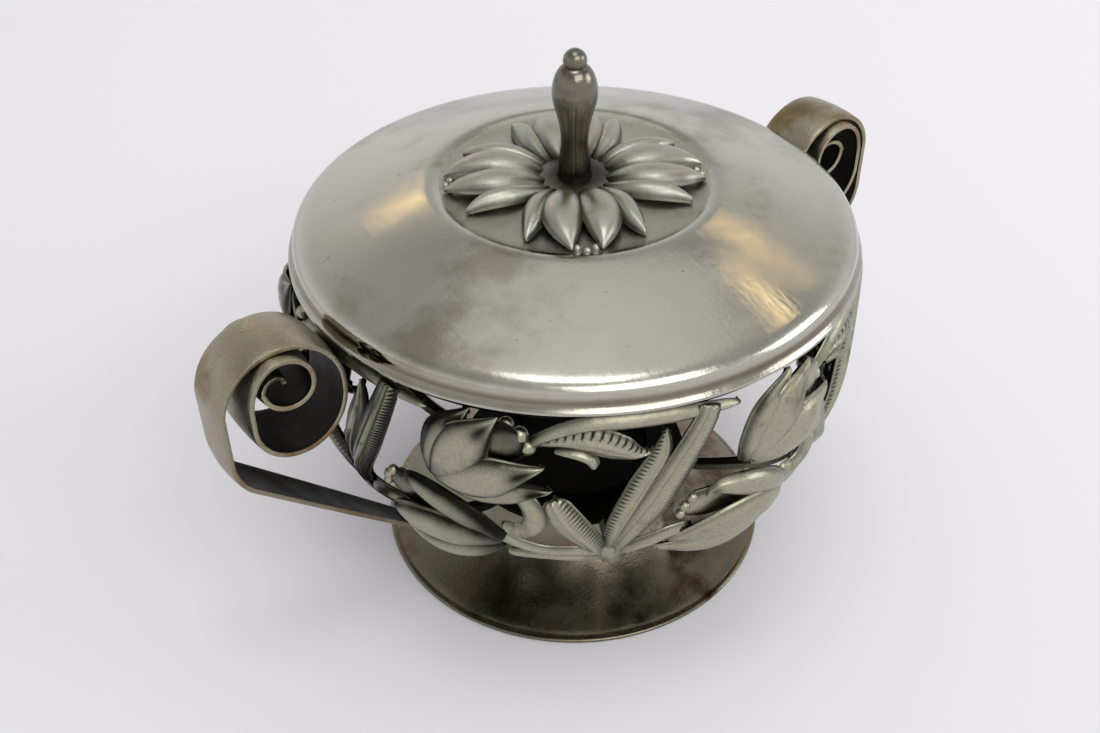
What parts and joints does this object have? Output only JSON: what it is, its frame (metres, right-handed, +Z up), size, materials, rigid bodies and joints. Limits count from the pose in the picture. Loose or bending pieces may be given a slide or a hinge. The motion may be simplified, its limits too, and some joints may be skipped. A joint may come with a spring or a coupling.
{
  "type": "lidded sugar bowl",
  "caption": "Covered sugar bowl with an openwork basket of tulips and leaves, a trumpet foot, scroll handles and a lift-off lid with a knob.",
  "frame": {"origin": "centre of the foot's underside", "axes": "+Z up along the bowl's axis, +X through the right-hand scroll handle, -Y towards the viewer"},
  "size_m": [0.1708, 0.1266, 0.121],
  "materials": {
    "silver_lid": "satin, lightly tarnished silver",
    "silver_rosette": "matt oxidised silver",
    "silver_openwork": "matt oxidised silver, chased",
    "silver_rim": "satin silver",
    "silver_inside": "dull oxidised silver",
    "silver_foot": "polished silver with brown tarnish",
    "silver_handle": "satin silver with yellow-brown tarnish",
    "silver_knob": "polished silver, dark tarnish"
  },
  "bodies": {
    "bowl": {"foot_shell": "silver_foot", "foot_wire": "silver_foot", "floor_plate": "silver_inside", "liner_ring": "silver_inside", "rim_ring": "silver_rim", "handle_right": "silver_handle", "handle_left": "silver_handle", "leaf_panel_1": "silver_openwork", "leaf_panel_2": "silver_openwork", "leaf_panel_3": "silver_openwork", "leaf_panel_4": "silver_openwork", "leaf_panel_5": "silver_openwork", "leaf_panel_6": "silver_openwork", "upper_tulip_1": "silver_openwork", "upper_tulip_2": "silver_openwork", "upper_tulip_3": "silver_openwork", "upper_tulip_4": "silver_openwork", "upper_tulip_5": "silver_openwork", "upper_tulip_6": "silver_openwork", "lower_tulip_1": "silver_openwork", "lower_tulip_2": "silver_openwork", "lower_tulip_3": "silver_openwork", "lower_tulip_4": "silver_openwork", "lower_tulip_5": "silver_openwork", "lower_tulip_6": "silver_openwork"},
    "lid": {"lid_shell": "silver_lid", "lid_bezel": "silver_rim", "knob": "silver_knob", "knob_ball": "silver_knob", "knob_nut": "silver_knob", "lid_tulip_1": "silver_rosette", "lid_tulip_2": "silver_rosette", "lid_tulip_3": "silver_rosette", "lid_tulip_4": "silver_rosette"}
  },
  "joints": [
    {"name": "lid_lift", "type": "slide", "parent": "bowl", "child": "lid", "axis": [0, 0, 1], "range_m": [0, 0.06]}
  ]
}
